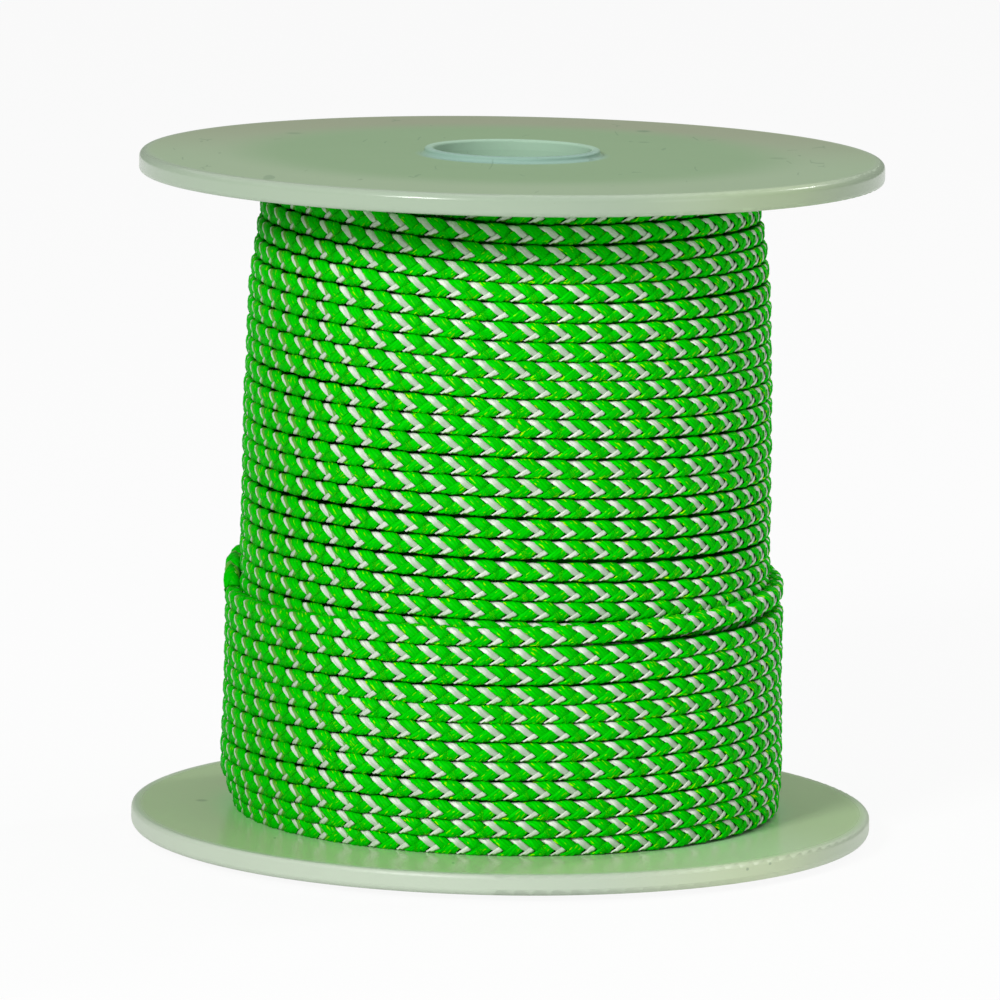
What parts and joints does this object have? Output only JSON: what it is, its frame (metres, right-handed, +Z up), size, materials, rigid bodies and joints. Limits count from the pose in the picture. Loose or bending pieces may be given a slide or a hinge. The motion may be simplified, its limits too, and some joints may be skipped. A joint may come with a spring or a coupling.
{
  "type": "fishing line spool",
  "caption": "Two-flange plastic spool with a plain through bore, wound with layers of round braided fishing line.",
  "frame": {"origin": "centre of the base, on the plane that the spool stands on", "axes": "+Z up along the bore, the axis that the spool turns on; the front is -Y"},
  "size_m": [0.08, 0.08, 0.0746],
  "materials": {
    "spool_plastic": "natural translucent polypropylene, smooth as moulded",
    "braided_line": "round braid of eight strands, four green and four white, satin filaments"
  },
  "bodies": {
    "root": {"lower_half": "spool_plastic", "upper_half": "spool_plastic", "line_layer_01": "braided_line", "line_layer_02": "braided_line", "line_layer_03": "braided_line", "line_layer_04": "braided_line", "line_layer_05": "braided_line", "line_layer_06": "braided_line", "line_layer_07": "braided_line", "line_layer_08": "braided_line", "line_layer_09": "braided_line", "line_last_layer": "braided_line"}
  },
  "joints": []
}
